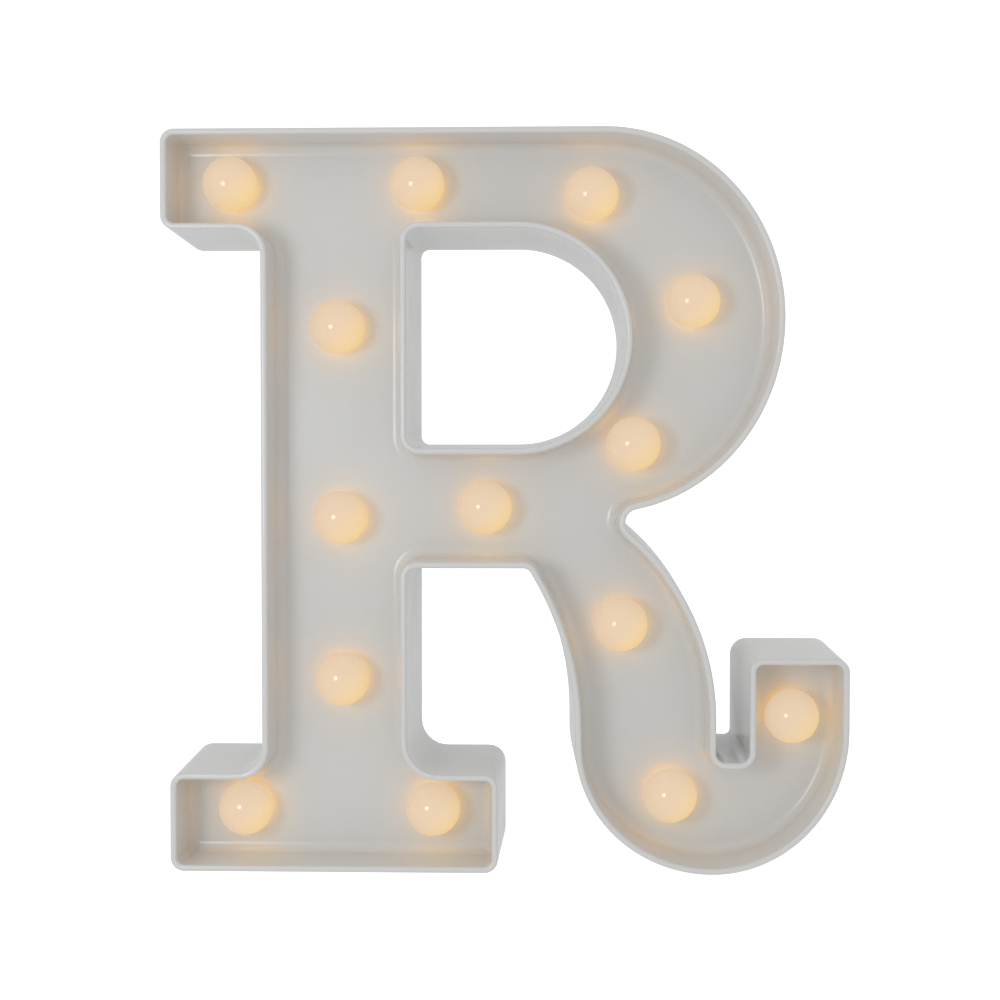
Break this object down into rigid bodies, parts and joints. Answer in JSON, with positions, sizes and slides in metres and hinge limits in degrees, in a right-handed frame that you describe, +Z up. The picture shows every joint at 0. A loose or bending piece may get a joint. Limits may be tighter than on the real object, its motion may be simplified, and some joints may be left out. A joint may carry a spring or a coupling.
{
  "type": "light-up letter",
  "caption": "Marquee letter R: a deep plastic tray with ball bulbs on its recessed face, a battery box and wall keyholes in its back cover.",
  "frame": {"origin": "the middle of the letter's width and depth, on the surface that it stands on", "axes": "+X to the right as the letter is read, +Y from its front to its back, +Z up"},
  "size_m": [0.2044, 0.045, 0.22],
  "materials": {
    "white_plastic": "satin moulded",
    "frosted_plastic": "frosted, lit from inside",
    "lamp_epoxy": "clear epoxy, lit",
    "red_insulation": "smooth",
    "black_insulation": "smooth",
    "cell_sleeve": "printed film sleeve, plain",
    "nickel": "nickel plated",
    "zinc": "zinc plated",
    "black_plastic": "fine texture"
  },
  "bodies": {
    "letter": {"front_shell": "white_plastic", "back_cover": "white_plastic", "bulb_cap_01": "frosted_plastic", "bulb_cap_02": "frosted_plastic", "bulb_cap_03": "frosted_plastic", "bulb_cap_04": "frosted_plastic", "bulb_cap_05": "frosted_plastic", "bulb_cap_06": "frosted_plastic", "bulb_cap_07": "frosted_plastic", "bulb_cap_08": "frosted_plastic", "bulb_cap_09": "frosted_plastic", "bulb_cap_10": "frosted_plastic", "bulb_cap_11": "frosted_plastic", "bulb_cap_12": "frosted_plastic", "bulb_cap_13": "frosted_plastic", "bulb_cap_14": "frosted_plastic", "lamp_01": "lamp_epoxy", "lamp_02": "lamp_epoxy", "lamp_03": "lamp_epoxy", "lamp_04": "lamp_epoxy", "lamp_05": "lamp_epoxy", "lamp_06": "lamp_epoxy", "lamp_07": "lamp_epoxy", "lamp_08": "lamp_epoxy", "lamp_09": "lamp_epoxy", "lamp_10": "lamp_epoxy", "lamp_11": "lamp_epoxy", "lamp_12": "lamp_epoxy", "lamp_13": "lamp_epoxy", "lamp_14": "lamp_epoxy", "lamp_ribbon": "red_insulation", "red_tail": "red_insulation", "black_tail": "black_insulation", "switch_tail": "black_insulation", "battery_01": "cell_sleeve", "battery_02": "cell_sleeve", "spring_01": "nickel", "spring_02": "nickel", "link_plate": "nickel", "positive_plate": "nickel", "negative_plate": "nickel", "switch_body": "nickel", "screw_01": "zinc", "screw_02": "zinc", "screw_03": "zinc", "screw_04": "zinc", "screw_05": "zinc", "screw_06": "zinc", "screw_07": "zinc", "screw_08": "zinc"},
    "door": {"battery_door": "white_plastic"},
    "knob": {"switch_knob": "black_plastic"}
  },
  "joints": [
    {"name": "door_hinge", "type": "hinge", "parent": "letter", "child": "door", "pos_m": [-0.05017, 0.021, 0.0775], "axis": [-1, 0, 0], "range_deg": [0, 95]},
    {"name": "switch_slide", "type": "slide", "parent": "letter", "child": "knob", "axis": [-1, 0, 0], "range_m": [0, 0.003]}
  ]
}
